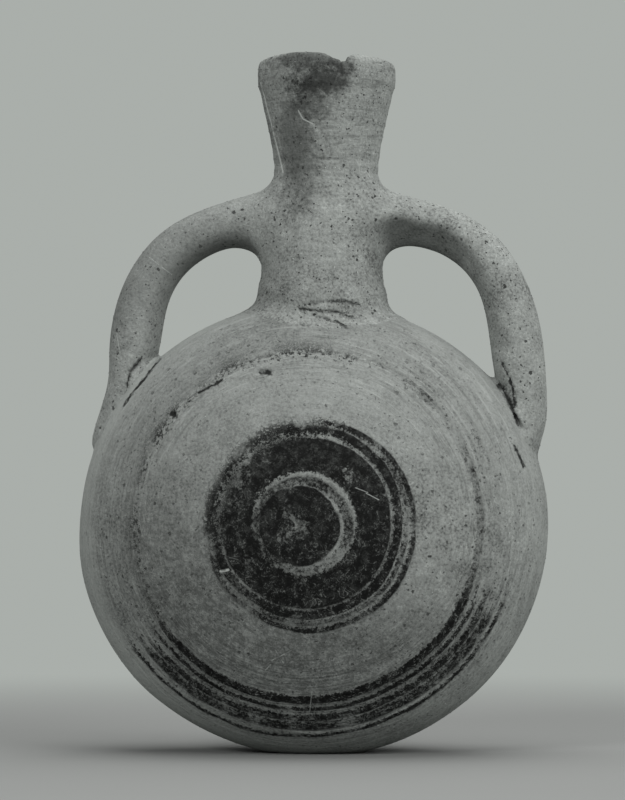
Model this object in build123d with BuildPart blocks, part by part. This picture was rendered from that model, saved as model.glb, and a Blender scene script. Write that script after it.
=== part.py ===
"""A two-handled pilgrim flask of fired clay, standing on its worn foot with its neck up.

Its lens-shaped body is two wheel-thrown bowls joined rim to rim. A neck, thrown on its own, sits in a
hole cut across the seam and is held by a collar of luting clay. Two rolled handles run from the neck
to the shoulders, and a wad of luting clay fills the inner corner of each root.

Millimetres. +Z is up, the painted face looks along -Y, and the origin is under the middle of the body.
"""

import os
from math import asin, atan2, cos, degrees, sin

from build123d import *

# Body
body_radius = 66.7
front_depth = 41.5  # from the seam to the middle of the painted face
rear_depth = 40.0
shoulder_radius = 28.0  # roundness of the edge, where the bowls meet
seam_wall = 5.0
face_wall = 7.0  # at the middle of a face, which was the floor of the bowl on the wheel
crown_sag_share = 0.951  # the soft body sank as it dried, more above its middle than below
foot_sag_share = 0.99
foot_flat = 1.3  # worn off the round foot
dimple_width = 9.0  # the potter's fingertip, in the middle of the painted face
dimple_depth = 0.8

# Neck
neck_offset = 3.35  # the neck stands a little to the right of the body's middle
neck_height = 68.3  # from the crown of the body up to the rim
lip_radius = 19.4
lip_height = 7.6
lip_wall = 5.2
lip_round = 2.3
lip_proud = 0.4  # beyond the wall under it
waist_radius = 14.8
waist_share = 0.532  # how far up the neck it is narrowest
neck_foot_radius = 17.2
throat_radius = 9.8
throat_length = 14.0
foot_bore_radius = 12.4
chip_offset = 4.1  # the chip in the rim, to the right of the neck's axis
chip_width = 7.2
chip_depth = 2.6

# Collar
collar_radius = 8.5  # hollow curve of the luting clay between neck and body

# Handles
handle_thickness = 14.0  # seen from the front
handle_width = 16.0  # front to back
arch_rise = 22.8  # middle of the handle where it leaves the neck, above the crown
bend_drop = 21.5  # over which the arch turns down into the upright limb
left_root_rise = 37.0  # where the limb meets the shoulder, above the middle of the body
right_root_rise = 27.5
heel_rise = 11.0  # start of the limb's pressed end, above the root
left_heel_lean = 2.1  # outwards, from the heel down to the root
right_heel_lean = 0.6
tongue_length = 16.0  # the pressed end below the root, thinned on to the shoulder
left_tongue_lean = 4.5  # outwards, from the root down to the tip
right_tongue_lean = 1.5
# Along the arch: how far out, how far down, and how thick and wide, each as a share of its size
arch_shares = (
    (0.05, 0.0, 1.6, 1.4),
    (0.22, 0.0, 1.55, 1.35),
    (0.32, 0.0, 1.28, 1.18),
    (0.405, 0.0, 1.05, 1.05),
    (0.55, 0.08, 0.92, 0.97),
    (0.772, 0.42, 0.95, 0.97),
    (0.906, 1.0, 1.0, 1.0),
)
root_shares = ((0.97, 1.02), (0.82, 1.03), (0.4, 0.6))  # thickness and width at heel, root and tip

# Wads in the inner corners of the roots
wad_length = 19.0
wad_thickness = 9.0
wad_width = 17.6
wad_uphill = 4.0  # from the middle of the root towards the neck

body_middle = body_radius * foot_sag_share - foot_flat
crown_height = body_middle + body_radius * crown_sag_share
rim_height = crown_height + neck_height
waist_height = crown_height + neck_height * waist_share
neck_foot_height = crown_height + collar_radius  # the neck is straight behind its collar
arch_height = crown_height + arch_rise
hidden_foot = crown_height - shoulder_radius  # the neck's stock runs down to here before it is trimmed
neck_plane = Plane((neck_offset, 0, 0), x_dir=(1, 0, 0), z_dir=(0, -1, 0))
neck_axis = Axis((neck_offset, 0, 0), (0, 0, 1))


def sagged_lens(radius, front, rear, shoulder):
    """A lens spun about Y, one arc round its edge and one over each face, sunk as the body sank."""
    halves = []
    for keep, share in ((Keep.TOP, crown_sag_share), (Keep.BOTTOM, foot_sag_share)):
        with BuildPart() as half:
            with BuildSketch(Plane.XY):
                with BuildLine():
                    for side, depth in ((-1, front), (1, rear)):
                        run = radius - shoulder
                        face_radius = (run**2 + depth**2 - shoulder**2) / (2 * (depth - shoulder))
                        turn = degrees(atan2(face_radius - depth, run))
                        face_middle = (0, side * (depth - face_radius))
                        CenterArc((run, 0), shoulder, 0, side * turn)
                        CenterArc(face_middle, face_radius, side * turn, side * (90 - turn))
                    Line((0, -front), (0, rear))
                make_face()
            revolve(axis=Axis.Y)
            split(bisect_by=Plane.XY, keep=keep)
            scale(by=(1, 1, share))
        halves.append(half.part)
    with BuildPart() as lens:
        with Locations((0, 0, body_middle)):
            add(halves)
    return lens.part


def neck_outer_line():
    """Outer line of the neck on its own plane, from its hidden foot up to the rim."""
    lip_foot = rim_height - lip_height
    wall_radius = lip_radius - lip_proud
    Line((neck_foot_radius, hidden_foot), (neck_foot_radius, neck_foot_height))
    Spline(
        (neck_foot_radius, neck_foot_height),
        (waist_radius, waist_height),
        (wall_radius, lip_foot),
        tangents=[(0, 1), (lip_radius - waist_radius, lip_foot - waist_height)],
    )
    Line((wall_radius, lip_foot), (lip_radius, lip_foot + lip_proud))
    Line((lip_radius, lip_foot + lip_proud), (lip_radius, rim_height))


def neck_bore_line():
    """Inner line of the neck, from the rim through the straight throat down to the hidden foot."""
    mouth_radius = lip_radius - lip_wall
    throat_top = waist_height + throat_length / 2
    throat_foot = waist_height - throat_length / 2
    Line((lip_radius, rim_height), (mouth_radius, rim_height))
    Spline(
        (mouth_radius, rim_height),
        (throat_radius, throat_top),
        tangents=[(throat_radius - mouth_radius, throat_top - rim_height), (0, -1)],
    )
    Line((throat_radius, throat_top), (throat_radius, throat_foot))
    Spline(
        (throat_radius, throat_foot),
        (foot_bore_radius, neck_foot_height),
        tangents=[(0, -1), (0, -1)],
    )
    Line((foot_bore_radius, neck_foot_height), (foot_bore_radius, hidden_foot))
    Line((foot_bore_radius, hidden_foot), (neck_foot_radius, hidden_foot))


def root_plane(side, rise):
    """Plane on the shoulder where a handle lands: X runs up the slope and Z points outwards."""
    angle = asin(rise / (body_radius * crown_sag_share))
    origin = (side * body_radius * cos(angle), 0, body_middle + rise)
    uphill = (-side * sin(angle), 0, crown_sag_share * cos(angle))
    outward = (side * crown_sag_share * cos(angle), 0, sin(angle))
    return Plane(origin, x_dir=uphill, z_dir=outward)


def rolled_handle(side, rise, heel_lean, tongue_lean):
    """A rolled coil from inside the neck, over the arch and down to its tongue, still uncut."""
    root = root_plane(side, rise).origin
    reach = abs(root.X - neck_offset)
    points = []
    sizes = []
    for out_share, down_share, thickness_share, width_share in arch_shares:
        points.append((neck_offset + side * reach * out_share, 0, arch_height - bend_drop * down_share))
        sizes.append((thickness_share, width_share))
    points.append((root.X - side * heel_lean, 0, root.Z + heel_rise))
    points.append((root.X, 0, root.Z))
    points.append((root.X + side * tongue_lean, 0, root.Z - tongue_length))
    sizes.extend(root_shares)
    with BuildLine() as middle:
        Spline(*points)
    line = middle.edges()[0]
    with BuildPart() as coil:
        for point, (thickness_share, width_share) in zip(points, sizes):
            along = line.tangent_at(line.param_at_point(point))
            with BuildSketch(Plane(point, x_dir=(0, 1, 0), z_dir=along)):
                Ellipse(handle_width * width_share / 2, handle_thickness * thickness_share / 2)
        loft()
    return coil.part


def luting_wad(side, rise):
    """A pressed lump of clay lying on the shoulder under the inner corner of a root, still uncut."""
    with BuildPart() as lump:
        Sphere(1)
        scale(by=(wad_length / 2, wad_width / 2, wad_thickness / 2))
    with BuildPart() as seated:
        with Locations(root_plane(side, rise)):
            with Locations((wad_uphill, 0, 0)):
                add(lump.part)
    return seated.part


os.makedirs("parts", exist_ok=True)

# Outer skin of the joined body, and its hollow
body_skin = sagged_lens(body_radius, front_depth, rear_depth, shoulder_radius)
body_hollow = sagged_lens(
    body_radius - seam_wall,
    front_depth - face_wall,
    rear_depth - face_wall,
    shoulder_radius - seam_wall,
)

# Neck without its bore, which is the shape of the hole cut for it
with BuildPart() as neck_stock:
    with BuildSketch(neck_plane):
        with BuildLine():
            neck_outer_line()
            Polyline(
                (lip_radius, rim_height),
                (0, rim_height),
                (0, hidden_foot),
                (neck_foot_radius, hidden_foot),
            )
        make_face()
    revolve(axis=neck_axis)

# The two bowls, cut apart at the seam and flat at the worn foot
bowls = []
for keep in (Keep.TOP, Keep.BOTTOM):
    with BuildPart() as bowl:
        add(body_skin)
        add(body_hollow, mode=Mode.SUBTRACT)
        add(neck_stock.part, mode=Mode.SUBTRACT)
        split(bisect_by=Plane.XZ, keep=keep)
        split(bisect_by=Plane.XY, keep=Keep.TOP)
    bowls.append(bowl.part)

with BuildPart() as front_bowl:
    add(bowls[0])
    dimple_ball = ((dimple_width / 2) ** 2 + dimple_depth**2) / (2 * dimple_depth)
    with Locations((0, -front_depth - dimple_ball + dimple_depth, body_middle)):
        Sphere(dimple_ball, mode=Mode.SUBTRACT)
front_bowl.part.label = "front_bowl"
export_step(front_bowl.part, "parts/front_bowl.step")

with BuildPart() as rear_bowl:
    add(bowls[1])
rear_bowl.part.label = "rear_bowl"
export_step(rear_bowl.part, "parts/rear_bowl.step")

# The thrown neck, rounded at the rim, chipped, and trimmed at its foot by the hollow of the body
with BuildPart() as neck:
    with BuildSketch(neck_plane):
        with BuildLine():
            neck_outer_line()
            neck_bore_line()
        make_face()
    revolve(axis=neck_axis)
    fillet(neck.edges().filter_by(GeomType.CIRCLE).group_by(Axis.Z)[-1], lip_round)
    chip_ball = ((chip_width / 2) ** 2 + chip_depth**2) / (2 * chip_depth)
    chip_middle = (chip_offset, rim_height - chip_depth + chip_ball)
    with BuildSketch(neck_plane):
        with Locations(chip_middle):
            Circle(chip_ball)
    extrude(amount=lip_radius, mode=Mode.SUBTRACT)
    add(body_hollow, mode=Mode.SUBTRACT)
neck.part.label = "neck"
export_step(neck.part, "parts/neck.step")

# The collar is the hollow fillet between neck and body, with both of them taken away
with BuildPart() as neck_collar:
    add(body_skin)
    add(neck_stock.part)
    fillet(new_edges(body_skin, neck_stock.part, combined=neck_collar.part), collar_radius)
    add(body_skin, mode=Mode.SUBTRACT)
    add(neck_stock.part, mode=Mode.SUBTRACT)
neck_collar.part.label = "neck_collar"
export_step(neck_collar.part, "parts/neck_collar.step")

# Wads and handles, each cut to what it was pressed against
for name, side, rise, heel_lean, tongue_lean in (
    ("left", -1, left_root_rise, left_heel_lean, left_tongue_lean),
    ("right", 1, right_root_rise, right_heel_lean, right_tongue_lean),
):
    with BuildPart() as root_wad:
        add(luting_wad(side, rise))
        add(body_skin, mode=Mode.SUBTRACT)
    root_wad.part.label = name + "_root_wad"
    export_step(root_wad.part, "parts/" + name + "_root_wad.step")

    with BuildPart() as handle:
        add(rolled_handle(side, rise, heel_lean, tongue_lean))
        add(body_skin, mode=Mode.SUBTRACT)
        add(neck_stock.part, mode=Mode.SUBTRACT)
        add(neck_collar.part, mode=Mode.SUBTRACT)
        add(root_wad.part, mode=Mode.SUBTRACT)
    handle.part.label = name + "_handle"
    export_step(handle.part, "parts/" + name + "_handle.step")
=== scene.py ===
from math import cos, pi, radians, sin

import bpy
import numpy as np
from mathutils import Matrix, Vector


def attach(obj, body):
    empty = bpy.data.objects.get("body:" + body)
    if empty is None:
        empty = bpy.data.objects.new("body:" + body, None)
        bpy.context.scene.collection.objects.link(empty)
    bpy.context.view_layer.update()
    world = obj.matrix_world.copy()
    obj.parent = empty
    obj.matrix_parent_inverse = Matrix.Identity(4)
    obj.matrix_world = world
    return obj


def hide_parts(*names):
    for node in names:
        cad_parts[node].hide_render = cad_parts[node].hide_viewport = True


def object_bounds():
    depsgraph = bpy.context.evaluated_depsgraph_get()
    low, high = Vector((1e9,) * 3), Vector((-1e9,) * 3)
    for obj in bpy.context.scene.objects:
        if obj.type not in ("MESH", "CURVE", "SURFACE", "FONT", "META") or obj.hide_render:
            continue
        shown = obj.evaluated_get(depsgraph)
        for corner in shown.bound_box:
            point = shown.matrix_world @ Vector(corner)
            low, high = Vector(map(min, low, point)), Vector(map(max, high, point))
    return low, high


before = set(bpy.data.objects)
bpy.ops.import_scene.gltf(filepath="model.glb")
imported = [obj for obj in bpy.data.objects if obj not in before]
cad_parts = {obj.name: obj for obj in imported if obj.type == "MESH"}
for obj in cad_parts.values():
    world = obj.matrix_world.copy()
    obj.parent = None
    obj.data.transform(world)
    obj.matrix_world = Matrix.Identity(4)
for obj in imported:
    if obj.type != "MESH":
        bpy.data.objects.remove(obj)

import openvdb
from mathutils import Vector

cad_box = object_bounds()
scene = bpy.context.scene

# Camera
# The flask was photographed from about a metre, level with the middle of its body and a few degrees
# to the right of its painted face. At the seam, a pixel of the photograph is 0.285 mm.
photo_width = 625
photo_height = 800
pixel = 0.000285
foot_pixel = (313.75, 752.0)
camera_distance = 1.0
camera_turn = radians(5.5)
camera_height = 0.065
film_height = 24.0
picture_middle_height = (foot_pixel[1] - photo_height / 2) * pixel

camera_data = bpy.data.cameras.new("camera")
camera_data.sensor_fit = "VERTICAL"
camera_data.sensor_height = film_height
camera_data.lens = film_height * camera_distance / (photo_height * pixel)
camera_data.shift_x = (photo_width / 2 - foot_pixel[0]) / photo_height
camera_data.shift_y = (picture_middle_height - camera_height) / (photo_height * pixel)
camera_data.clip_start = 0.05
camera = bpy.data.objects.new("camera", camera_data)
camera.location = (camera_distance * sin(camera_turn), -camera_distance * cos(camera_turn), camera_height)
camera.rotation_euler = (pi / 2, 0, camera_turn)
scene.collection.objects.link(camera)
scene.camera = camera

# Paper and lamps
# The flask stands on a sheet of pale grey paper that fades into the grey room behind it. One broad soft
# lamp hangs above it, another stands to its right like a window, and a smaller one by the camera's
# left throws the shadow back to the right.
paper_tone = 0.25
room_tone = (0.402, 0.427, 0.405, 1)
glow_strength = 0.20
paper_size = 8.0
fade_start = 0.16
fade_end = 0.55

# Each lamp's place, its width and its power.
lamps = {
    "ceiling": ((0.14, 0.10, 1.30), 1.3, 17.0),
    "window": ((1.05, -0.90, 0.72), 0.9, 13.5),
    "front_lamp": ((-0.50, -1.00, 0.55), 0.30, 5.3),
}


def add_node(tree, kind, inputs=(), **settings):
    """A node of that kind; inputs maps a socket's name or number to a value or another socket."""
    node = tree.nodes.new(kind)
    for name, value in settings.items():
        setattr(node, name, value)
    for key, value in dict(inputs).items():
        if isinstance(value, bpy.types.NodeSocket):
            tree.links.new(value, node.inputs[key])
        else:
            node.inputs[key].default_value = value
    return node


def new_material(name):
    """A material with an empty node tree."""
    material = bpy.data.materials.new(name)
    material.use_nodes = True
    material.node_tree.nodes.clear()
    return material


def camera_sees(tree):
    """One where the camera or a reflection looks straight at the surface."""
    path = add_node(tree, "ShaderNodeLightPath")
    return add_node(tree, "ShaderNodeMath", {
        0: path.outputs["Is Camera Ray"], 1: path.outputs["Is Glossy Ray"],
    }, operation="MAXIMUM").outputs[0]


paper_mesh = bpy.data.meshes.new("paper")
edge = paper_size / 2
paper_mesh.from_pydata([(-edge, -edge, 0), (edge, -edge, 0), (edge, edge, 0), (-edge, edge, 0)], [], [(0, 1, 2, 3)])
paper = bpy.data.objects.new("paper", paper_mesh)
paper.location.z = cad_box[0][2]
scene.collection.objects.link(paper)
paper_sheet = new_material("paper_sheet")
tree = paper_sheet.node_tree
where = add_node(tree, "ShaderNodeTexCoord").outputs["Object"]
reach = add_node(tree, "ShaderNodeVectorMath", {0: where}, operation="LENGTH").outputs["Value"]
fade = add_node(tree, "ShaderNodeMapRange", {0: reach, 1: fade_start, 2: fade_end}, interpolation_type="SMOOTHSTEP")
hidden = add_node(tree, "ShaderNodeMath", {0: fade.outputs[0], 1: camera_sees(tree)}, operation="MULTIPLY")
lit = add_node(tree, "ShaderNodeBsdfDiffuse", {"Color": (paper_tone * 0.97, paper_tone, paper_tone * 0.97, 1)})
flat = add_node(tree, "ShaderNodeEmission", {"Color": room_tone, "Strength": 1.0})
sheet = add_node(tree, "ShaderNodeMixShader", {0: hidden.outputs[0], 1: lit.outputs[0], 2: flat.outputs[0]})
add_node(tree, "ShaderNodeOutputMaterial", {"Surface": sheet.outputs[0]})
paper_mesh.materials.append(paper_sheet)

room = bpy.data.worlds.new("room")
room.use_nodes = True
scene.world = room
tree = room.node_tree
tree.nodes.clear()
glow = add_node(tree, "ShaderNodeBackground", {"Color": (1, 1, 1, 1), "Strength": glow_strength})
wall = add_node(tree, "ShaderNodeBackground", {"Color": room_tone, "Strength": 1.0})
seen = add_node(tree, "ShaderNodeMixShader", {0: camera_sees(tree), 1: glow.outputs[0], 2: wall.outputs[0]})
add_node(tree, "ShaderNodeOutputWorld", {"Surface": seen.outputs[0]})

for lamp_name, (place, size, power) in lamps.items():
    lamp_data = bpy.data.lights.new(lamp_name, "AREA")
    lamp_data.size = size
    lamp_data.energy = power
    lamp = bpy.data.objects.new(lamp_name, lamp_data)
    lamp.location = place
    lamp.rotation_euler = (Vector((0, 0, camera_height)) - Vector(place)).to_track_quat("-Z", "Y").to_euler()
    scene.collection.objects.link(lamp)

# Joined wet clay
# Two thrown bowls, a thrown neck, two coils and their luting clay were pressed together leather-hard,
# so every join was wiped. Each CAD node gives a distance field; the fields melt into one body of clay,
# which is worked by hand here, and each piece is cut from it further on.
piece_names = sorted(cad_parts)
field_reach = 0.0085
far_outside = 0.01
overlap = 0.001
tuck = 0.15
neck_x = 0.00335
rim_z = cad_box[1][2]

# How softly two pieces run into each other where they meet.
seam_softness = 0.0008
foot_softness = 0.0015
root_softness = 0.0010
least_wipe = 0.0042
wipe_above = 0.0008
wipe_at_sides = 0.0040

# Clay smeared round the foot of the neck: its radius, height, spread and thickness.
smear_radius = 0.0180
smear_height = 0.1305
smear_spread = 0.0045
smear_thickness = 0.0007


def distance_field(node, low, shape, cell):
    """Signed distance to a CAD node on a grid of points, in metres, negative inside."""
    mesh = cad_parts[node].data
    mesh.calc_loop_triangles()
    points = np.zeros(len(mesh.vertices) * 3, np.float32)
    mesh.vertices.foreach_get("co", points)
    corners = np.zeros(len(mesh.loop_triangles) * 3, np.int32)
    mesh.loop_triangles.foreach_get("vertices", corners)
    grid = openvdb.FloatGrid.createLevelSetFromPolygons(
        ((points.reshape(-1, 3) - low) / cell).astype(np.float32),
        triangles=corners.reshape(-1, 3).astype(np.uint32),
        transform=openvdb.createLinearTransform(voxelSize=1.0),
        halfWidth=field_reach / cell,
    )
    field = np.zeros(shape, np.float32)
    grid.copyToArray(field, ijk=(0, 0, 0))
    return field * np.float32(cell)


def melt(first, second, reach):
    """The smaller of two fields, rounded where they come within reach of each other."""
    near = np.clip(reach - np.abs(first - second), 0, None)
    return np.minimum(first, second) - near * near / (4 * reach)


def pare(first, second, reach):
    """The larger of two fields, with the edge between them rounded."""
    near = np.clip(reach - np.abs(first - second), 0, None)
    return np.maximum(first, second) + near * near / (4 * reach)


def soften(field, rounds):
    """The field averaged with its neighbours, which rounds its edges a little more each round."""
    for _ in range(rounds):
        for axis in range(3):
            field = (np.roll(field, 1, axis) + np.roll(field, -1, axis) + 2 * field) / 4
    return field


def rise(value, start, end):
    """Zero below start and one above end, with a smooth step between them."""
    step = np.clip((value - start) / (end - start), 0, 1)
    return step * step * (3 - 2 * step)


# How far a crack strays from its line, sideways and up.
stray_across = 0.00022
stray_up = 0.00018


def nearest_on(path, x, y, z):
    """Distance from points to a line of 3-D points, which wanders a little, as a crack does."""
    nearest = np.float32(1.0)
    x = x + stray_across * np.sin(z * 4300 + y * 2600)
    z = z + stray_up * np.sin(x * 5100 + y * 3700)
    for start, end in zip(path[:-1], path[1:]):
        start = np.array(start, np.float32)
        run = np.array(end, np.float32) - start
        share = ((x - start[0]) * run[0] + (y - start[1]) * run[1] + (z - start[2]) * run[2]) / (run @ run)
        share = np.clip(share, 0, 1)
        gap = (
            (x - start[0] - share * run[0]) ** 2
            + (y - start[1] - share * run[1]) ** 2
            + (z - start[2] - share * run[2]) ** 2
        )
        nearest = np.minimum(nearest, np.sqrt(gap))
    return nearest


def patch_between(axes, low, high):
    """The part of a grid between two corners, as slices, or None where the grid doesn't reach it."""
    spans = [np.flatnonzero((axis.ravel() > low[i]) & (axis.ravel() < high[i])) for i, axis in enumerate(axes)]
    if all(len(span) for span in spans):
        return tuple(slice(int(span[0]), int(span[-1]) + 1) for span in spans)
    return None


# Cracks where a handle's tongue lifts off the shell, slits in the luting clay, marks that the potter's
# finger left round the foot of the neck, and pits: a line of points and the half width of each.
root_cracks = [
    ([(-0.0432, -0.0080, 0.1118), (-0.0468, -0.0117, 0.1063), (-0.0496, -0.0124, 0.1029),
      (-0.0527, -0.0128, 0.0986)], 0.00042),
    ([(-0.0484, -0.0070, 0.1122), (-0.0517, -0.0080, 0.1082), (-0.0524, -0.0088, 0.1045),
      (-0.0527, -0.0126, 0.0990)], 0.00034),
    ([(0.0526, -0.0035, 0.1042), (0.0541, -0.0060, 0.1030), (0.0562, -0.0075, 0.0990),
      (0.0588, -0.0084, 0.0925)], 0.0006),
    ([(0.0539, -0.0066, 0.1103), (0.0556, -0.0078, 0.1068), (0.0569, -0.0079, 0.1030),
      (0.0576, -0.0078, 0.0985)], 0.0004),
    ([(0.0577, -0.0152, 0.0868), (0.0590, -0.0147, 0.0840), (0.0604, -0.0141, 0.0812)], 0.0004),
]
finger_creases = [
    ([(0.0006, -0.0175, 0.1266), (0.0048, -0.0176, 0.1273), (0.0103, -0.0163, 0.1273),
      (0.0143, -0.0142, 0.1265)], 0.0003),
    ([(-0.0023, -0.0171, 0.1253), (0.0029, -0.0179, 0.1246), (0.0082, -0.0176, 0.1238)], 0.0003),
    ([(0.0018, -0.0182, 0.1235), (0.0052, -0.0185, 0.1226), (0.0086, -0.0188, 0.1215),
      (0.0115, -0.0198, 0.1197)], 0.0004),
    ([(0.0040, -0.0179, 0.1245), (0.0084, -0.0174, 0.1243), (0.0123, -0.0167, 0.1230)], 0.0004),
]
pits = [
    ([(-0.0118, -0.0290, 0.1072), (-0.0098, -0.0291, 0.1070)], 0.0007),
    ([(-0.0371, -0.0270, 0.0957), (-0.0364, -0.0270, 0.0954)], 0.0007),
    ([(-0.0296, -0.0272, 0.1014), (-0.0230, -0.0276, 0.1050)], 0.0002),
]
scars = root_cracks + finger_creases + pits
scar_margin = 0.002
scar_softness = 0.0003


def open_scars(clay, x, y, z):
    """Cut the cracks, creases and pits into the clay."""
    for path, width in scars:
        low = [min(point[i] for point in path) - scar_margin for i in range(3)]
        high = [max(point[i] for point in path) + scar_margin for i in range(3)]
        patch = patch_between((x, y, z), low, high)
        if patch:
            gap = nearest_on(path, x[patch[0]], y[:, patch[1]], z[:, :, patch[2]])
            clay[patch] = pare(clay[patch], (width - gap).astype(np.float32), scar_softness)


# The right handle was pared flat along its front lower side, which leaves an arris. The line is the
# handle's middle as (x, z), and less was pared off at either end.
pared_line = [(0.018, 0.1512), (0.0280, 0.1502), (0.0377, 0.1482), (0.0468, 0.1428), (0.0531, 0.1340),
              (0.0559, 0.1254)]
pared_lean = (-0.72, 0.69)
pared_depth = 0.0047
pared_reach = 0.012
left_on_at_ends = 0.004
inner_end = (0.014, 0.026)
outer_end = (0.036, 0.056)
untouched = -0.02
arris_softness = 0.0016


def pare_flat(arm, x, y, z):
    """The right handle's field with its flat pared off."""
    outward = np.full((arm.shape[0], 1, arm.shape[2]), 1.0, np.float32)
    nearest = np.full((arm.shape[0], 1, arm.shape[2]), 1.0, np.float32)
    for start, end in zip(pared_line[:-1], pared_line[1:]):
        run = (end[0] - start[0], end[1] - start[1])
        length = np.hypot(*run)
        share = np.clip(((x - start[0]) * run[0] + (z - start[1]) * run[1]) / length ** 2, 0, 1)
        gap = np.hypot(x - start[0] - share * run[0], z - start[1] - share * run[1])
        side_gap = ((z - start[1]) * run[0] - (x - start[0]) * run[1]) / length
        closer = gap < nearest
        outward = np.where(closer, side_gap, outward)
        nearest = np.where(closer, gap, nearest)
    kept = pared_depth + left_on_at_ends * (1 - rise(x, *inner_end)) + left_on_at_ends * rise(x, *outer_end)
    facet = pared_lean[0] * outward + pared_lean[1] * -y - kept
    return pare(arm, np.where(nearest < pared_reach, facet, untouched), arris_softness)


# The lip is a roll of clay round the rim: where its middle runs, half of its flat across and up, and how
# round it is. Its chip is given as depths across the front, in millimetres, and fades out behind.
lip_radius = 0.0168
lip_drop = 0.0038
lip_flat_across = 0.0006
lip_flat_up = 0.0018
lip_roundness = 0.0019
lip_softness = 0.0008
lip_top = 0.184
lip_smoothed = (0.185, 0.189)
chip_fade_start = 0.006
chip_fade = 0.004
chip_across = [3.8, 5.5, 6.6, 8.0, 8.8, 10.2, 10.9, 11.9]
chip_depth = [0, 0.5, 1.0, 1.35, 1.9, 1.85, 0.7, 0]


def roll_lip(clay, x, y, z):
    """The clay with a rolled lip, softened by wet fingers and chipped at the front."""
    front = np.clip(-y - chip_fade_start, 0, chip_fade) / chip_fade
    lip = np.maximum(np.abs(np.hypot(x - neck_x, y) - lip_radius) - lip_flat_across,
                     np.abs(z - (rim_z - lip_drop)) - lip_flat_up) - lip_roundness
    clay = melt(clay, lip, lip_softness)
    top = np.flatnonzero((z > lip_top).ravel())
    if len(top):
        cap = slice(int(top[0]), None)
        share = rise(z[:, :, cap], *lip_smoothed)
        clay[:, :, cap] += (soften(clay[:, :, cap], 5) - clay[:, :, cap]) * share
        across = x * 1000
        depth = np.interp(across, chip_across, chip_depth)
        ragged = 0.12 * np.sin(across * 5.1) + 0.10 * np.sin(across * 8.3 + y * 2600)
        sunk = depth * (1 + 0.10 * np.clip(-y * 1000 - 15, 0, None)) + ragged * (depth > 0.2)
        broken = z - (rim_z - 0.001 * front * sunk)
        clay = np.where((front > 0) & (depth > 0), np.maximum(clay, broken.astype(np.float32)), clay)
    return clay


# The very middle of the painted face, where the bowl came off the wheel, was smoothed over.
middle_low = (-0.012, -0.045, 0.052)
middle_high = (0.012, -0.036, 0.076)
middle_z = 0.0642
middle_fade = (0.006, 0.010)


def smooth_middle(clay, x, y, z):
    """Smooth the middle of the front bowl."""
    patch = patch_between((x, y, z), middle_low, middle_high)
    if patch:
        share = 1 - rise(np.hypot(x[patch[0]], z[:, :, patch[2]] - middle_z), *middle_fade)
        clay[patch] += (soften(clay[patch], 10) - clay[patch]) * share


def wet_clay(low, high, cell):
    """The nodes' fields and the field of the worked clay, on a grid from low to high."""
    low = np.array(low, np.float32)
    shape = tuple(int((high[i] - low[i]) / cell) + 2 for i in range(3))
    x, y, z = np.meshgrid(*(low[i] + cell * np.arange(shape[i], dtype=np.float32) for i in range(3)),
                          indexing="ij", sparse=True)
    fields = {name: distance_field(name, low, shape, cell) for name in piece_names}

    shell = melt(fields["front_bowl"], fields["rear_bowl"], seam_softness)
    stem = melt(melt(shell, fields["neck"], foot_softness), fields["neck_collar"], foot_softness)
    ring = np.hypot(np.hypot(x - neck_x, y) - smear_radius, z - smear_height)
    stem = stem - smear_thickness * np.exp(-((ring / smear_spread) ** 2))

    wipe = least_wipe + wipe_above * rise(z, 0.146, 0.154) + wipe_at_sides * rise(np.abs(y), 0.0035, 0.0085)
    clay = stem
    for side in ("left", "right"):
        arm = fields[side + "_handle"]
        if side == "right":
            arm = pare_flat(arm, x, y, z)
        arm = melt(arm, fields[side + "_root_wad"], root_softness)
        clay = np.minimum(clay, melt(fields["neck"], arm, wipe))
        clay = np.minimum(clay, melt(stem, arm, root_softness))
    clay = roll_lip(soften(clay, 2), x, y, z)
    smooth_middle(clay, x, y, z)
    open_scars(clay, x, y, z)
    return fields, clay, low


# How far the wet clay sagged: the body's lower left outwards, the neck's foot to the left and its top to
# the right, and the lip up near its middle and down on its right.
body_out = 0.0012
foot_left = 0.0009
neck_right = 0.0003
lip_up = 0.0008
lip_down = 0.0005


def settle(points):
    """The flask sagged a little in the hand: small shifts that the photograph shows."""
    x, y, z = points[:, 0], points[:, 1], points[:, 2]
    fuller = rise(-x, 0.012, 0.045) * rise(z, 0.002, 0.022) * (1 - rise(z, 0.045, 0.075))
    near_neck = 1 - rise(np.abs(x - neck_x), 0.022, 0.036)
    lower = rise(z, 0.120, 0.134) * (1 - rise(z, 0.148, 0.166))
    upper = rise(z, 0.150, 0.170)
    high_side = rise(z, 0.190, 0.196) * np.exp(-(((x + 0.0045) / 0.0085) ** 2))
    low_side = rise(z, 0.190, 0.196) * rise(x, 0.014, 0.024)
    x = x - body_out * fuller + near_neck * (neck_right * upper - foot_left * lower)
    z = z + lip_up * high_side - lip_down * low_side
    return np.stack([x, y, z], 1).astype(np.float32)


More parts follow.
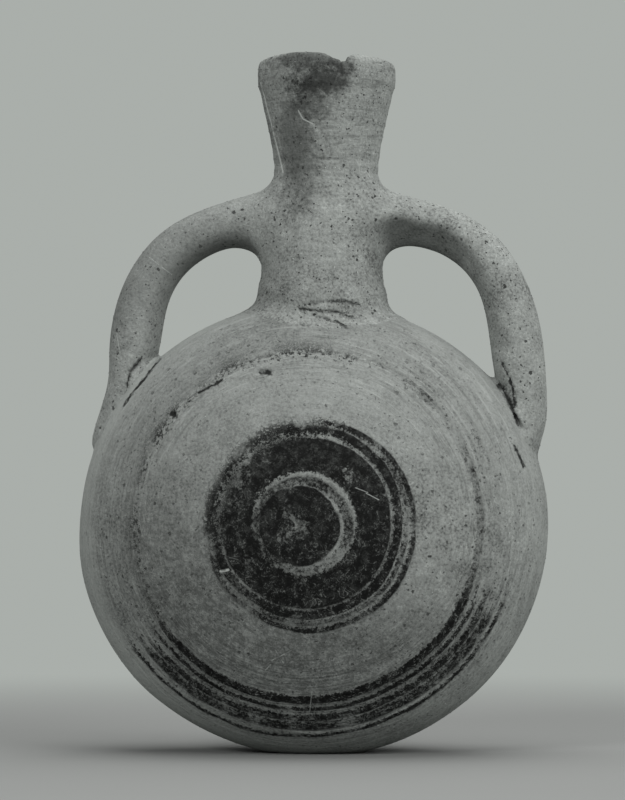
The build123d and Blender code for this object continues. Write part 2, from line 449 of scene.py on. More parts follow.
def cut_out(name, wet, cell):
    """The mesh of one piece, cut from the worked clay a little past its joins, where it tucks under."""
    fields, clay, low = wet
    others = np.minimum.reduce([fields[other] for other in piece_names if other != name])
    zone = (fields[name] - others) / 2
    grid = openvdb.FloatGrid(far_outside)
    grid.copyFromArray(np.maximum(clay + tuck * np.clip(zone, 0, None), zone - overlap))
    points, triangles, quads = grid.convertToPolygons(isovalue=0.0, adaptivity=0.0)
    points = settle(points * cell + low)
    mesh = bpy.data.meshes.new(name)
    mesh.from_pydata(points.tolist(), [], quads.tolist() + triangles.tolist())
    mesh.validate()
    mesh.shade_smooth()
    dirt = np.zeros(len(points), np.float32)
    for path, width in scars:
        gap = nearest_on(path, points[:, 0], points[:, 1], points[:, 2])
        dirt = np.maximum(dirt, 1 - rise(gap, width * 0.6, width * 1.5 + 0.0003))
    mesh.attributes.new("dirt", "FLOAT", "POINT").data.foreach_set("value", dirt)
    # How far each point faces down, which the handles' material uses for painted shade under their arches.
    normals = np.zeros(len(points) * 3, np.float32)
    mesh.vertex_normals.foreach_get("vector", normals)
    mesh.attributes.new("under", "FLOAT", "POINT").data.foreach_set("value", rise(-normals[2::3], 0.15, 0.85))
    return mesh


# The bowls are cut from one coarser grid, and the smaller pieces from a finer one over the upper part.
bowl_cell = 0.00086
fine_cell = 0.0005
margin = 0.004
whole_low, whole_high = [c - margin for c in cad_box[0]], [c + margin for c in cad_box[1]]
upper_low = (whole_low[0], -0.026, 0.078)
upper_high = (whole_high[0], 0.026, whole_high[2])

# Front and rear bowls
# Each half of the body is a shallow bowl thrown on the wheel in gritty clay, with its wall squeezed to
# a lens. The front has dark slip rings brushed on as the wheel turned, since worn thin in places.
# The rear is taken to have had the same, and more of it is rubbed away.
body_centre = (0.0, 0.0, 0.0647)
hand_marks = {"Wobble_Size": 0.030, "Wobble_Depth": 0.0007, "Grit_Size": 0.00026}
bowl_marks = {**hand_marks, "Wheel_Centre": body_centre, "Wheel_Axis": (0.0, 1.0, 0.0), "Hollow": 1.0,
              "Ring_Step": 0.030, "Ring_Depth": 0.00022, "Grit_Density": 60000.0}


def calc(tree, operation, a, b=0.0, c=0.0, clamp=False):
    """A Math node's result."""
    return add_node(tree, "ShaderNodeMath", {0: a, 1: b, 2: c}, operation=operation, use_clamp=clamp).outputs[0]


def vector(tree, operation, a, b=(0, 0, 0), c=(0, 0, 0), scale=1.0, out="Vector"):
    """A Vector Math node's result."""
    return add_node(tree, "ShaderNodeVectorMath", {0: a, 1: b, 2: c, 3: scale}, operation=operation).outputs[out]


def hand_finish():
    """Geometry Nodes that mark a wet surface with the wheel's rings and bed grit in it."""
    tree = bpy.data.node_groups.new("hand_finish", "GeometryNodeTree")
    tree.is_modifier = True
    face = tree.interface
    face.new_socket("Geometry", in_out="OUTPUT", socket_type="NodeSocketGeometry")
    for label, kind in (
        ("Geometry", "Geometry"), ("Clay", "Material"), ("Wheel Centre", "Vector"), ("Wheel Axis", "Vector"),
        ("Ring Step", "Float"), ("Ring Depth", "Float"), ("Wobble Size", "Float"), ("Wobble Depth", "Float"),
        ("Grit Density", "Float"), ("Grit Size", "Float"), ("Hollow", "Float"), ("Seed", "Int"),
    ):
        face.new_socket(label, in_out="INPUT", socket_type="NodeSocket" + kind)
    given = tree.nodes.new("NodeGroupInput").outputs

    # The fingers' rings lie at steps of angle from the wheel's plane. They come and go, and the whole
    # wall sways a little. Nothing moves where the flask stands.
    place = add_node(tree, "GeometryNodeInputPosition").outputs[0]
    normal = add_node(tree, "GeometryNodeInputNormal").outputs[0]
    arm = vector(tree, "SUBTRACT", place, given["Wheel Centre"])
    along = vector(tree, "DOT_PRODUCT", arm, given["Wheel Axis"], out="Value")
    across = vector(tree, "LENGTH", vector(tree, "CROSS_PRODUCT", arm, given["Wheel Axis"]), out="Value")
    lift = calc(tree, "DIVIDE", calc(tree, "ARCTAN2", along, across), given["Ring Step"])
    rings = add_node(tree, "ShaderNodeTexNoise", {"W": lift, "Scale": 1.0, "Detail": 2.0}, noise_dimensions="1D")
    fading = add_node(tree, "ShaderNodeTexNoise", {"Vector": place, "W": given["Seed"], "Scale": 60.0},
                      noise_dimensions="4D")
    bend = add_node(tree, "ShaderNodeTexNoise", {
        "Vector": place, "W": 3.0, "Scale": calc(tree, "DIVIDE", 1.0, given["Wobble Size"]), "Detail": 1.0,
    }, noise_dimensions="4D")
    ridge = calc(tree, "MULTIPLY", calc(tree, "SUBTRACT", rings.outputs[0], 0.5), given["Ring Depth"])
    ridge = calc(tree, "MULTIPLY", calc(tree, "MULTIPLY", ridge, fading.outputs[0]), 3.0)
    sway = calc(tree, "MULTIPLY", calc(tree, "SUBTRACT", bend.outputs[0], 0.5), given["Wobble Depth"])
    height = add_node(tree, "ShaderNodeSeparateXYZ", {0: place}).outputs["Z"]
    off_floor = add_node(tree, "ShaderNodeMapRange", {0: height, 1: 0.0, 2: 0.006}).outputs[0]
    lifted = calc(tree, "MULTIPLY", calc(tree, "ADD", ridge, sway), off_floor)
    push = vector(tree, "SCALE", normal, scale=lifted)
    shaped = add_node(tree, "GeometryNodeSetPosition", {"Geometry": given["Geometry"], "Offset": push}).outputs[0]

    # Grains of grit lie in the skin. A hollow piece has none on its inner wall.
    facing = calc(tree, "GREATER_THAN", vector(tree, "DOT_PRODUCT", normal, arm, out="Value"), 0.0)
    bare = calc(tree, "MAXIMUM", facing, calc(tree, "SUBTRACT", 1.0, given["Hollow"]))
    spread = add_node(tree, "GeometryNodeDistributePointsOnFaces", {
        "Mesh": shaped, "Density": calc(tree, "MULTIPLY", given["Grit Density"], bare), "Seed": given["Seed"],
    }, distribute_method="RANDOM")
    grain = add_node(tree, "GeometryNodeMeshIcoSphere", {"Radius": 1.0, "Subdivisions": 1})
    scatter = add_node(tree, "FunctionNodeRandomValue", {"Min": (0.4, 0.4, 0.25), "Max": (1.2, 1.0, 0.55), "Seed": 5},
                       data_type="FLOAT_VECTOR")
    grains = add_node(tree, "GeometryNodeInstanceOnPoints", {
        "Points": spread.outputs["Points"], "Instance": grain.outputs[0],
        "Rotation": spread.outputs["Rotation"],
        "Scale": vector(tree, "SCALE", scatter.outputs[0], scale=given["Grit Size"]),
    })
    shade = add_node(tree, "FunctionNodeRandomValue", {2: 0.15, 3: 1.0, "Seed": 9}, data_type="FLOAT")
    marked = add_node(tree, "GeometryNodeStoreNamedAttribute", {
        "Geometry": grains.outputs[0], "Name": "grit", "Value": shade.outputs[1],
    }, data_type="FLOAT", domain="INSTANCE")
    joined = add_node(tree, "GeometryNodeJoinGeometry")
    tree.links.new(marked.outputs[0], joined.inputs[0])
    tree.links.new(shaped, joined.inputs[0])
    real = add_node(tree, "GeometryNodeRealizeInstances", {0: joined.outputs[0]})
    smooth = add_node(tree, "GeometryNodeSetShadeSmooth", {"Geometry": real.outputs[0]})
    coated = add_node(tree, "GeometryNodeSetMaterial", {"Geometry": smooth.outputs[0], "Material": given["Clay"]})
    add_node(tree, "NodeGroupOutput", {0: coated.outputs[0]})
    return tree


finish_tree = hand_finish()


def fired_piece(name, wet, cell, slot, **values):
    """One visible piece: cut out, finished by hand, fired, and set in place of its CAD node."""
    piece = bpy.data.objects.new(name + "_clay", cut_out(name, wet, cell))
    scene.collection.objects.link(piece)
    finish = piece.modifiers.new("finish", "NODES")
    finish.node_group = finish_tree
    sockets = {item.name: item.identifier for item in finish_tree.interface.items_tree if item.in_out == "INPUT"}
    for label, value in values.items():
        finish[sockets[label.replace("_", " ")]] = value
    depsgraph = bpy.context.evaluated_depsgraph_get()
    mesh = bpy.data.meshes.new_from_object(piece.evaluated_get(depsgraph), preserve_all_data_layers=True,
                                           depsgraph=depsgraph)
    piece.modifiers.remove(finish)
    piece.data = mesh
    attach(piece, "root")
    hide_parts(name)


def grade(tree, value, start, end, low=0.0, high=1.0):
    """The value taken smoothly from start-end to low-high, and held past either end."""
    return add_node(tree, "ShaderNodeMapRange", {0: value, 1: start, 2: end, 3: low, 4: high},
                    interpolation_type="SMOOTHSTEP").outputs[0]


def cloud(tree, place, size, seed, detail=2.0, rough=0.5, warp=0.0):
    """Cloudy noise about a half, with lumps of that size."""
    return add_node(tree, "ShaderNodeTexNoise", {
        "Vector": place, "W": seed, "Scale": 1.0 / size, "Detail": detail, "Roughness": rough, "Distortion": warp,
    }, noise_dimensions="4D").outputs[0]


def about_zero(tree, noise):
    """Noise about a half, brought down to lie about zero."""
    return calc(tree, "SUBTRACT", noise, 0.5)


def mixed(tree, factor, first, second):
    """One colour laid over another."""
    return add_node(tree, "ShaderNodeMix", {0: factor, 6: first, 7: second}, data_type="RGBA").outputs[2]


def grey(tone):
    """The print's faintly green grey."""
    return (tone * 0.965, tone * 1.02, tone * 0.97, 1)


# The clay's own greys, from its dark hollows to its pale crusts, each at its place on a scale of one.
clay_greys = [(0.20, 0.10), (0.42, 0.24), (0.60, 0.30), (0.85, 0.42)]

# Two sets of open pores: their spacing in millimetres, a seed, how fast they grow in size, the share of
# places that stay closed, their grey, and how deep they sink in millimetres.
pores = [(1.3, 5.0, 0.55, 0.44, 0.030, -0.12), (2.4, 6.0, 0.36, 0.40, 0.014, -0.25)]


def fired_clay(tree, paleness):
    """Gritty fired clay: its place in millimetres, colour, and height in millimetres."""
    source = add_node(tree, "ShaderNodeTexCoord").outputs["Object"]
    place = vector(tree, "SCALE", source, scale=1000.0)
    broad = cloud(tree, place, 26.0, 1.0, 2.0)
    patch = cloud(tree, place, 5.0, 2.0, 3.0, 0.6)
    fine = cloud(tree, place, 0.75, 3.0, 3.0, 0.65)
    tone = calc(tree, "MULTIPLY_ADD", broad, 0.45, calc(tree, "MULTIPLY_ADD", patch, 0.60, -0.525))
    tone = calc(tree, "MULTIPLY_ADD", fine, 1.15, calc(tree, "ADD", tone, paleness - 0.085))
    ramp = add_node(tree, "ShaderNodeValToRGB", {0: tone})
    ramp.color_ramp.elements[0].position = clay_greys[0][0]
    ramp.color_ramp.elements[0].color = grey(clay_greys[0][1])
    ramp.color_ramp.elements[1].position = clay_greys[-1][0]
    ramp.color_ramp.elements[1].color = grey(clay_greys[-1][1])
    for position, middle_grey in clay_greys[1:-1]:
        ramp.color_ramp.elements.new(position).color = grey(middle_grey)
    colour = ramp.outputs[0]
    height = calc(tree, "MULTIPLY_ADD", fine, 0.24, calc(tree, "MULTIPLY", patch, 0.25))

    # Pale threads of crust.
    curl = calc(tree, "ABSOLUTE", about_zero(tree, cloud(tree, place, 1.5, 4.0, 1.0, 0.5, 0.4)))
    curl = calc(tree, "MULTIPLY", grade(tree, curl, 0.0, 0.030, 1.0, 0.0), grade(tree, patch, 0.50, 0.62))
    colour = mixed(tree, calc(tree, "MULTIPLY", curl, 0.55), colour, grey(0.45))
    height = calc(tree, "MULTIPLY_ADD", curl, 0.04, height)

    # Dark pepper, and pores of uneven shape.
    pepper = calc(tree, "MULTIPLY_ADD", patch, 0.25, cloud(tree, place, 0.55, 7.0, 1.0))
    pepper = grade(tree, pepper, 0.45, 0.38)
    colour = mixed(tree, calc(tree, "MULTIPLY", pepper, 0.50), colour, grey(0.05))
    stir = add_node(tree, "ShaderNodeTexNoise", {"Vector": place, "Scale": 1.6, "Detail": 1.0}).outputs["Color"]
    stirred = vector(tree, "MULTIPLY_ADD", stir, (0.9, 0.9, 0.9), place)
    for spacing, seed, size, closed, ink, sink in pores:
        cells = add_node(tree, "ShaderNodeTexVoronoi", {"Vector": stirred, "W": seed, "Scale": 1.0 / spacing},
                         voronoi_dimensions="4D")
        lot = add_node(tree, "ShaderNodeSeparateColor", {0: cells.outputs["Color"]}).outputs[0]
        hole = calc(tree, "MULTIPLY", calc(tree, "SUBTRACT", lot, closed), size)
        pore = grade(tree, calc(tree, "SUBTRACT", cells.outputs["Distance"], hole), 0.0, 0.07, 1.0, 0.0)
        pore = calc(tree, "MULTIPLY", pore, calc(tree, "GREATER_THAN", hole, 0.0))
        colour = mixed(tree, calc(tree, "MULTIPLY", pore, 0.85), colour, grey(ink))
        height = calc(tree, "MULTIPLY_ADD", pore, sink, height)

    # The bedded grains are dark, and a few of them pale.
    grit = add_node(tree, "ShaderNodeAttribute", attribute_name="grit").outputs["Fac"]
    stone = mixed(tree, calc(tree, "GREATER_THAN", grit, 0.86), grey(0.03), grey(0.42))
    colour = mixed(tree, calc(tree, "GREATER_THAN", grit, 0.05), colour, stone)
    return place, colour, height


def fire(tree, colour, height, rough):
    """The shader of a clay surface, with dirt packed in its cracks."""
    dirt = add_node(tree, "ShaderNodeAttribute", attribute_name="dirt").outputs["Fac"]
    place = add_node(tree, "ShaderNodeTexCoord").outputs["Object"]
    packed = grade(tree, cloud(tree, place, 0.0014, 8.0, 2.0), 0.38, 0.56, 0.30, 0.90)
    colour = mixed(tree, calc(tree, "MULTIPLY", dirt, packed), colour, grey(0.02))
    relief = add_node(tree, "ShaderNodeBump", {"Strength": 1.0, "Distance": 0.001, "Height": height})
    surface = add_node(tree, "ShaderNodeBsdfPrincipled", {
        "Base Color": colour, "Roughness": rough, "Normal": relief.outputs[0],
    })
    surface.inputs["Specular IOR Level"].default_value = 0.08
    add_node(tree, "ShaderNodeOutputMaterial", {"Surface": surface.outputs[0]})


# A slip ring: the middle of its circle as (x, z), its inner and outer radius, how much slip is left
# and how soft its edge is, in millimetres. The brush was steadied by hand, so the rings drift.
front_rings = [
    ((0.0, 64.4), 0.0, 11.1, 1.0, 0.7),
    ((0.7, 64.1), 10.9, 14.4, 0.60, 1.0),
    ((1.3, 65.3), 14.1, 23.7, 1.0, 0.7),
    ((1.5, 65.5), 23.6, 24.3, 0.50, 0.2),
    ((1.4, 65.5), 24.2, 26.8, 0.92, 0.4),
    ((1.8, 65.2), 26.6, 28.3, 0.56, 0.4),
    ((2.5, 64.4), 27.7, 29.5, 0.78, 0.6),
    ((0.2, 65.0), 47.7, 49.9, 1.10, 0.3),
    ((0.1, 65.0), 49.6, 50.9, 0.45, 0.4),
    ((0.1, 65.0), 50.9, 52.2, 0.84, 0.4),
    ((0.0, 65.0), 52.1, 53.3, 0.42, 0.4),
    ((-0.2, 65.0), 53.1, 55.2, 0.72, 0.5),
    ((-0.1, 65.0), 55.0, 57.9, 0.64, 0.6),
    ((-0.8, 65.1), 59.0, 60.1, 0.74, 0.4),
]

# The rear rings are the front ones mirrored, with less slip left and softer edges. On either face, the
# rings past this inner radius are only a trace high up.
rear_rings = [((0.4 - x, z), inner, outer, left * 0.8, soft + 0.2)
              for (x, z), inner, outer, left, soft in front_rings]
outer_rings_from = 40

# The wheel's middle on the face, the bare spot rubbed there, and the other patches rubbed thin in use:
# the middle of each, its radius, and the share of the slip that is kept.
wheel_middle = (0.2, 65.0)
bare_spot = (-1.8, 62.6, 0)
worn = [
    ((10.4, 55.4), 6.5, 0.66),
    ((-17.8, 70.4), 7.0, 0.80),
    ((14.5, 79.2), 6.0, 0.84),
    ((-12.3, 53.2), 5.0, 0.82),
    ((20.0, 60.0), 5.0, 0.85),
    ((-17.7, 44.2), 10.0, 0.62),
    ((31.0, 66.0), 9.0, 0.78),
]

# Scratches through the slip, each as its two ends in (x, z), its half width and its strength.
bowl_scratches = [
    ((15.3, 74.9), (18.6, 73.6), 0.18, 0.4),
    ((18.2, 73.4), (21.6, 71.6), 0.20, 0.5),
    ((-22.0, 52.0), (-19.9, 52.4), 0.50, 0.8),
    ((12.0, 79.6), (12.4, 79.9), 0.60, 0.8),
    ((30.0, 76.1), (30.5, 76.4), 0.60, 0.7),
    ((-8.4, 27.4), (-2.8, 30.2), 0.18, 0.55),
    ((-7.4, 30.4), (-5.2, 26.6), 0.16, 0.4),
    ((-10.4, 24.6), (-8.8, 26.2), 0.16, 0.4),
    ((1.2, 12.4), (2.2, 18.6), 0.16, 0.35),
]


def scratched(tree, place, colour, height, lines, tone=0.46, wander=0.0):
    """Fine scratches or cracks on the front, each from one (x, z) to another; wander makes them ragged."""
    axes = add_node(tree, "ShaderNodeSeparateXYZ", {0: place})
    flat_place = add_node(tree, "ShaderNodeCombineXYZ", {0: axes.outputs["X"], 1: axes.outputs["Z"]}).outputs[0]
    if wander:
        stray = add_node(tree, "ShaderNodeTexNoise", {"Vector": place, "Scale": 0.8, "Detail": 2.0}).outputs["Color"]
        stray = vector(tree, "SUBTRACT", stray, (0.5, 0.5, 0.5))
        flat_place = vector(tree, "MULTIPLY_ADD", stray, (wander, wander, 0), flat_place)
    scored = 0.0
    for start, end, width, strength in lines:
        run = (end[0] - start[0], end[1] - start[1], 0)
        arm = vector(tree, "SUBTRACT", flat_place, (*start, 0))
        share = vector(tree, "DOT_PRODUCT", arm, run, out="Value")
        share = calc(tree, "DIVIDE", share, run[0] ** 2 + run[1] ** 2, clamp=True)
        gap = vector(tree, "DISTANCE", arm, vector(tree, "SCALE", run, scale=share), out="Value")
        scored = calc(tree, "MAXIMUM", grade(tree, gap, width * 0.4, width, strength, 0.0), scored)
    skip = grade(tree, cloud(tree, place, 2.4, 41.0), 0.38, 0.5, 0.25, 1.0)
    scored = calc(tree, "MULTIPLY", scored, calc(tree, "LESS_THAN", axes.outputs["Y"], 0.0))
    scored = calc(tree, "MULTIPLY", scored, skip)
    return mixed(tree, scored, colour, grey(tone)), calc(tree, "MULTIPLY_ADD", scored, -0.06, height)


def dirty_cracks(paths, spread):
    """The dirt line along each crack, for scratched(), a little wider than the crack by spread."""
    return [((start[0] * 1000, start[2] * 1000), (end[0] * 1000, end[2] * 1000), width * 1000 + spread, 0.95)
            for path, width in paths for start, end in zip(path[:-1], path[1:])]


def slip_left(tree, place, flat_place, rings, crumb, sway, streak, upper_left, lean, seed, wear):
    """How much slip is left at each point, from none at zero to a full coat at one."""
    # Crumbled edges shift each ring, most at the upper left. High up, the outer rings are only a trace.
    scatter = calc(tree, "MULTIPLY_ADD", upper_left, 16.0, 2.5)
    shift = calc(tree, "MULTIPLY_ADD", sway, 1.6, calc(tree, "MULTIPLY", crumb, scatter))
    kept_trace = calc(tree, "MULTIPLY_ADD", sway, 0.8, calc(tree, "MULTIPLY", upper_left, 0.24))
    slip = 0.0
    for (ring_x, ring_z), inner, outer, left, soft in rings:
        reach = calc(tree, "ADD", vector(tree, "DISTANCE", flat_place, (ring_x, ring_z, 0), out="Value"), shift)
        ring = grade(tree, reach, outer - soft, outer + soft, left, 0.0)
        if inner:
            ring = calc(tree, "MULTIPLY", ring, grade(tree, reach, inner - soft, inner + soft))
        if inner > outer_rings_from:
            trace = calc(tree, "ADD", kept_trace, 0.33 if outer - inner < 2.5 else 0.17)
            ring = calc(tree, "MULTIPLY", ring, grade(tree, lean, -19.0, -34.0, trace, 1.0))
        slip = calc(tree, "MAXIMUM", ring, slip)

    # Rubbed patches, a cloudy general wear, and the brush's own drag.
    spot = vector(tree, "DISTANCE", flat_place, bare_spot, out="Value")
    spot = grade(tree, calc(tree, "MULTIPLY_ADD", crumb, 6.0, spot), 1.5, 7.0, 0.62, 1.0)
    for (worn_x, worn_z), worn_size, kept in worn:
        gap = vector(tree, "DISTANCE", flat_place, (worn_x, worn_z, 0), out="Value")
        gap = calc(tree, "MULTIPLY_ADD", crumb, 8.0, gap)
        spot = calc(tree, "MULTIPLY", spot, grade(tree, gap, worn_size * 0.3, worn_size, kept, 1.0))
    rubbed = grade(tree, cloud(tree, place, 6.0, seed + 3.0, 3.0, 0.6), 0.46 - wear, 0.68 - wear, 1.0, 0.60)
    thinner = calc(tree, "MULTIPLY_ADD", upper_left, -0.26, 1.0)
    drag = grade(tree, streak, 0.34, 0.52, 0.84, 1.0)
    for share in (spot, rubbed, thinner, drag):
        slip = calc(tree, "MULTIPLY", slip, share)
    return slip


def painted_clay(name, rings, marks, seed, wear):
    """Fired clay with brushed slip rings about the wheel's axis; more wear leaves less slip."""
    material = new_material(name)
    tree = material.node_tree
    place, colour, height = fired_clay(tree, -0.07)
    axes = add_node(tree, "ShaderNodeSeparateXYZ", {0: place})
    x, z = axes.outputs["X"], axes.outputs["Z"]
    flat_place = add_node(tree, "ShaderNodeCombineXYZ", {0: x, 1: z}).outputs[0]
    east = calc(tree, "SUBTRACT", x, wheel_middle[0])
    north = calc(tree, "SUBTRACT", z, wheel_middle[1])
    angle = calc(tree, "ARCTAN2", north, east)
    radius = calc(tree, "SQRT", calc(tree, "ADD", calc(tree, "POWER", east, 2.0), calc(tree, "POWER", north, 2.0)))

    # Streaks run round the wheel, and are strongest near the edge.
    turned = add_node(tree, "ShaderNodeCombineXYZ", {
        0: calc(tree, "MULTIPLY", radius, 1.1),
        1: calc(tree, "MULTIPLY", calc(tree, "SINE", angle), 4.0),
        2: calc(tree, "MULTIPLY", calc(tree, "COSINE", angle), 4.0),
    }).outputs[0]
    streak = cloud(tree, turned, 1.0, seed, 3.0, 0.6)
    outer_zone = grade(tree, radius, 34.0, 46.0, 0.25, 1.0)
    strong = calc(tree, "MULTIPLY", about_zero(tree, streak), outer_zone)
    colour = mixed(tree, grade(tree, north, -6.0, 30.0, 0.0, 0.45), colour, grey(0.235))
    light = mixed(tree, grade(tree, strong, 0.04, 0.16, 0.0, 0.5), colour, grey(0.36))
    colour = mixed(tree, grade(tree, strong, -0.05, -0.18, 0.0, 0.55), light, grey(0.13))
    height = calc(tree, "MULTIPLY_ADD", strong, 0.7, height)

    # Soot settled low on the left, and there the colour is also darkened as painted shade.
    # The very edge is kept paler, most on the left.
    low = grade(tree, calc(tree, "MULTIPLY_ADD", east, 0.45, north), 18.0, -38.0, 0.08, 1.0)
    low = calc(tree, "MULTIPLY", low, grade(tree, radius, 44.0, 56.0, 1.0, 0.25))
    soot_and_shade = grade(tree, cloud(tree, place, 2.0, seed + 6.0, 5.0, 0.85), 0.40, 0.58, 0.34, 0.84)
    colour = mixed(tree, calc(tree, "MULTIPLY", low, soot_and_shade), colour, grey(0.07))
    pale_edge = calc(tree, "MULTIPLY", grade(tree, radius, 57.0, 64.5), grade(tree, east, 20.0, -30.0, 0.25, 0.60))
    colour = mixed(tree, pale_edge, colour, grey(0.38))

    # The slip, stained into the clay where it is thin and lying on it where it is thick.
    crumb = about_zero(tree, cloud(tree, place, 1.1, seed + 1.0, 4.0, 0.85))
    sway = about_zero(tree, cloud(tree, place, 14.0, seed + 2.0, 1.0))
    upper_left = calc(tree, "MULTIPLY_ADD", east, -0.75, calc(tree, "MULTIPLY", north, 0.66))
    upper_left = grade(tree, upper_left, 6.0, 26.0)
    lean = calc(tree, "MULTIPLY_ADD", x, -0.13, north)
    lean = calc(tree, "MULTIPLY_ADD", about_zero(tree, streak), 26.0, lean)
    slip = slip_left(tree, place, flat_place, rings, crumb, sway, streak, upper_left, lean, seed, wear)
    cover = grade(tree, calc(tree, "MULTIPLY_ADD", crumb, 1.9, slip), 0.32, 0.68)
    cover = calc(tree, "MULTIPLY", cover, grade(tree, slip, 0.0, 0.25))
    dust = cloud(tree, place, 2.2, seed + 5.0, 5.0, 0.82)
    paint = mixed(tree, grade(tree, dust, 0.44, 0.68), grey(0.006), grey(0.034))
    colour = mixed(tree, grade(tree, slip, 0.0, 0.9, 0.0, 0.75), colour, grey(0.05))
    colour = mixed(tree, cover, colour, paint)

    # Scuffs, most of them low down, then scratches and the dirt in the cracks.
    scuff = calc(tree, "ABSOLUTE", about_zero(tree, cloud(tree, place, 3.4, seed + 4.0, 2.0, 0.6, 1.5)))
    scuff = calc(tree, "MULTIPLY", grade(tree, scuff, 0.003, 0.020, 1.0, 0.0), grade(tree, dust, 0.44, 0.56))
    scuff = calc(tree, "MULTIPLY", scuff, grade(tree, north, 30.0, -30.0, 0.10, 0.65))
    colour = mixed(tree, scuff, colour, grey(0.22))
    if marks:
        cracks = dirty_cracks([root_cracks[0], root_cracks[-1]] + pits, 0.2)
        colour, height = scratched(tree, place, colour, height, marks)
        colour, height = scratched(tree, place, colour, height, cracks, 0.015, 1.6)
    height = calc(tree, "MULTIPLY_ADD", cover, 0.05, height)

    fire(tree, colour, height, grade(tree, cover, 0.0, 1.0, 0.92, 0.75))
    return material


whole = wet_clay(whole_low, whole_high, bowl_cell)
painted_front = painted_clay("painted_front", front_rings, bowl_scratches, 11.0, 0.0)
painted_rear = painted_clay("painted_rear", rear_rings, [], 31.0, 0.12)
fired_piece("front_bowl", whole, bowl_cell, "painted_clay", Clay=painted_front, Seed=3, **bowl_marks)
fired_piece("rear_bowl", whole, bowl_cell, "painted_clay", Clay=painted_rear, Seed=4, **bowl_marks)
del whole

# Neck
# A tube thrown on its own and flared to a rolled lip, which has lost a chip at the front. Level finger
# lines run round it. Something dark was once spilt over the front of the lip, and a tool left a long
# pale scratch down the left.
neck_marks = {**hand_marks, "Wheel_Centre": (neck_x, 0.0, 0.152), "Wheel_Axis": (0.0, 0.0, 1.0), "Hollow": 1.0,
              "Ring_Step": 0.055, "Ring_Depth": 0.00022, "Grit_Density": 85000.0}

# Each stain's middle, its half sizes and its strength, in millimetres.
stains = [
    ((4.5, -18.5, 189.0), (12.5, 10.0, 6.5), 0.82),
    ((0.5, -18.5, 184.0), (8.0, 10.0, 7.5), 0.50),
    ((-0.5, -18.0, 195.0), (14.0, 10.0, 5.5), 0.62),
    ((9.0, -18.0, 194.0), (5.5, 8.0, 4.5), 0.55),
    ((-3.5, -14.0, 170.0), (9.5, 10.0, 26.0), 0.54),
]
neck_scratches = [
    ((-14.4, 190.0), (-7.8, 164.4), 0.30, 1.0),
    ((-2.8, 181.0), (-1.5, 178.6), 0.25, 0.7),
    ((-1.5, 178.6), (1.3, 177.2), 0.25, 0.7),
    ((15.8, 175.0), (16.6, 163.0), 0.15, 0.4),
]

neck_clay = new_material("neck_clay")
tree = neck_clay.node_tree
place, colour, height = fired_clay(tree, 0.0)
level = vector(tree, "MULTIPLY", place, (0.15, 0.15, 1.0))
lines = about_zero(tree, cloud(tree, level, 0.9, 21.0, 3.0, 0.6))
neck_height = add_node(tree, "ShaderNodeSeparateXYZ", {0: place}).outputs["Z"]
lines = calc(tree, "MULTIPLY", lines, grade(tree, neck_height, 156.0, 174.0, 0.25, 1.0))
colour = mixed(tree, grade(tree, lines, -0.03, -0.14, 0.0, 0.45), colour, grey(0.11))
height = calc(tree, "MULTIPLY_ADD", lines, 0.22, height)
rough_edge = cloud(tree, place, 3.0, 22.0, 5.0, 0.8)
for middle, half_size, strength in stains:
    gap = vector(tree, "DIVIDE", vector(tree, "SUBTRACT", place, middle), half_size)
    gap = calc(tree, "MULTIPLY_ADD", rough_edge, 2.0, vector(tree, "LENGTH", gap, out="Value"))
    colour = mixed(tree, grade(tree, gap, 1.3, 2.0, strength, 0.0), colour, grey(0.022))
colour, height = scratched(tree, place, colour, height, neck_scratches)
fire(tree, colour, height, 0.92)

upper = wet_clay(upper_low, upper_high, fine_cell)
fired_piece("neck", upper, fine_cell, "fired_clay", Clay=neck_clay, Seed=5, **neck_marks)

# Neck collar
# Soft luting clay wiped round the foot of the neck by finger, which left curved creases at the front.
collar_marks = {**hand_marks, "Wheel_Centre": (neck_x, 0.0, 0.118), "Wheel_Axis": (0.0, 0.0, 1.0), "Hollow": 0.0,
                "Ring_Step": 0.09, "Ring_Depth": 0.0002, "Grit_Density": 70000.0}

luting = new_material("luting_clay")
tree = luting.node_tree
place, colour, height = fired_clay(tree, 0.0)
swept = vector(tree, "MULTIPLY", place, (0.22, 0.22, 0.9))
wipe_marks = about_zero(tree, cloud(tree, swept, 1.2, 23.0, 2.0, 0.5, 0.6))
colour = mixed(tree, grade(tree, wipe_marks, -0.05, -0.18, 0.0, 0.4), colour, grey(0.15))
height = calc(tree, "MULTIPLY_ADD", wipe_marks, 0.4, height)
luting_cracks = dirty_cracks(root_cracks + finger_creases, -0.05)
colour, height = scratched(tree, place, colour, height, luting_cracks, 0.03, 1.2)
fire(tree, colour, height, 0.9)
fired_piece("neck_collar", upper, fine_cell, "luting_clay", Clay=luting, Seed=6, **collar_marks)
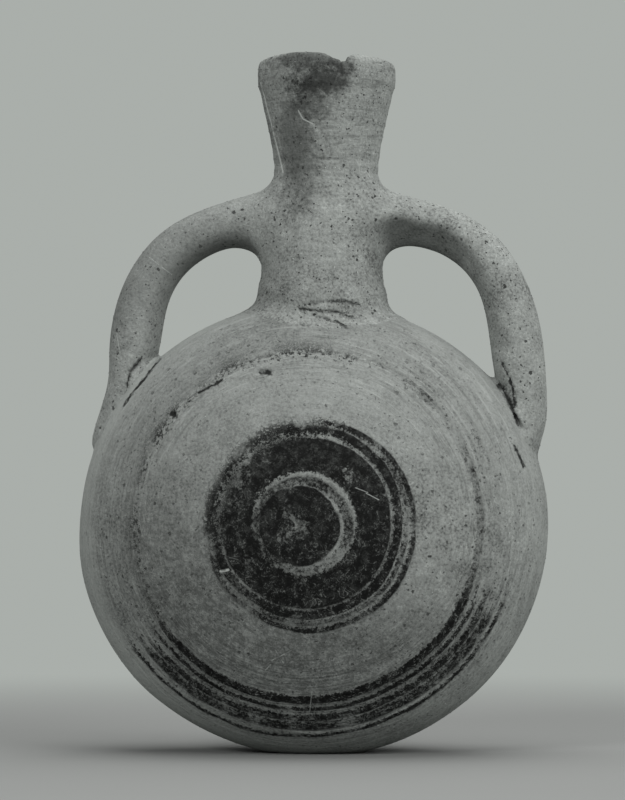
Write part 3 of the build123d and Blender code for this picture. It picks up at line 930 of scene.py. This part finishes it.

# Handles
# Each is a coil rolled under the palm, pressed on the neck, arched over, and thinned to a tongue on the
# shoulder. The palm left them smooth along their length. Painted shade darkens them where they face
# down under their arches, and darkens the left one towards its left.
coil_marks = {**hand_marks, "Wheel_Centre": body_centre, "Wheel_Axis": (0.0, 1.0, 0.0), "Hollow": 0.0,
              "Ring_Step": 0.5, "Ring_Depth": 0.0, "Grit_Density": 80000.0}
handle_scratches = [
    ((-46.2, 140.8), (-40.1, 136.0), 0.18, 0.6),
    ((-55.7, 118.8), (-54.5, 113.2), 0.18, 0.6),
    ((-44.0, 117.0), (-41.5, 121.0), 0.15, 0.5),
    ((57.0, 118.0), (58.4, 120.5), 0.2, 0.4),
]
coil_clay = new_material("coil_clay")
tree = coil_clay.node_tree
place, colour, height = fired_clay(tree, 0.0)
rolled = about_zero(tree, cloud(tree, place, 3.2, 24.0, 3.0, 0.6, 0.3))
colour = mixed(tree, grade(tree, rolled, -0.04, -0.16, 0.0, 0.22), colour, grey(0.15))
# Painted shade: darker where the handles face down, under their arches.
under = add_node(tree, "ShaderNodeAttribute", attribute_name="under").outputs["Fac"]
colour = mixed(tree, calc(tree, "MULTIPLY", under, 0.62), colour, grey(0.045))
# Painted shade: the left handle is darkened towards its left, most on its upper part.
axes = add_node(tree, "ShaderNodeSeparateXYZ", {0: place})
painted_left_shade = grade(tree, axes.outputs["X"], -10.0, -40.0, 0.0, 0.40)
painted_left_shade = calc(tree, "MULTIPLY", painted_left_shade, grade(tree, axes.outputs["Z"], 112.0, 128.0, 0.2, 1.0))
colour = mixed(tree, painted_left_shade, colour, grey(0.12))
height = calc(tree, "MULTIPLY_ADD", rolled, 0.3, height)
colour, height = scratched(tree, place, colour, height, handle_scratches)
colour, height = scratched(tree, place, colour, height, dirty_cracks(root_cracks, -0.05), 0.02, 2.2)
fire(tree, colour, height, 0.92)
for seed, side in ((7, "left"), (8, "right")):
    fired_piece(side + "_handle", upper, fine_cell, "fired_clay", Clay=coil_clay, Seed=seed, **coil_marks)

# Root wads
# A lump of luting clay thumbed into the corner between each handle and the shoulder. It shrank as it
# dried, and opened in slits.
for seed, side in ((9, "left"), (10, "right")):
    fired_piece(side + "_root_wad", upper, fine_cell, "luting_clay", Clay=luting, Seed=seed, **coil_marks)

scene.view_settings.view_transform = "Standard"
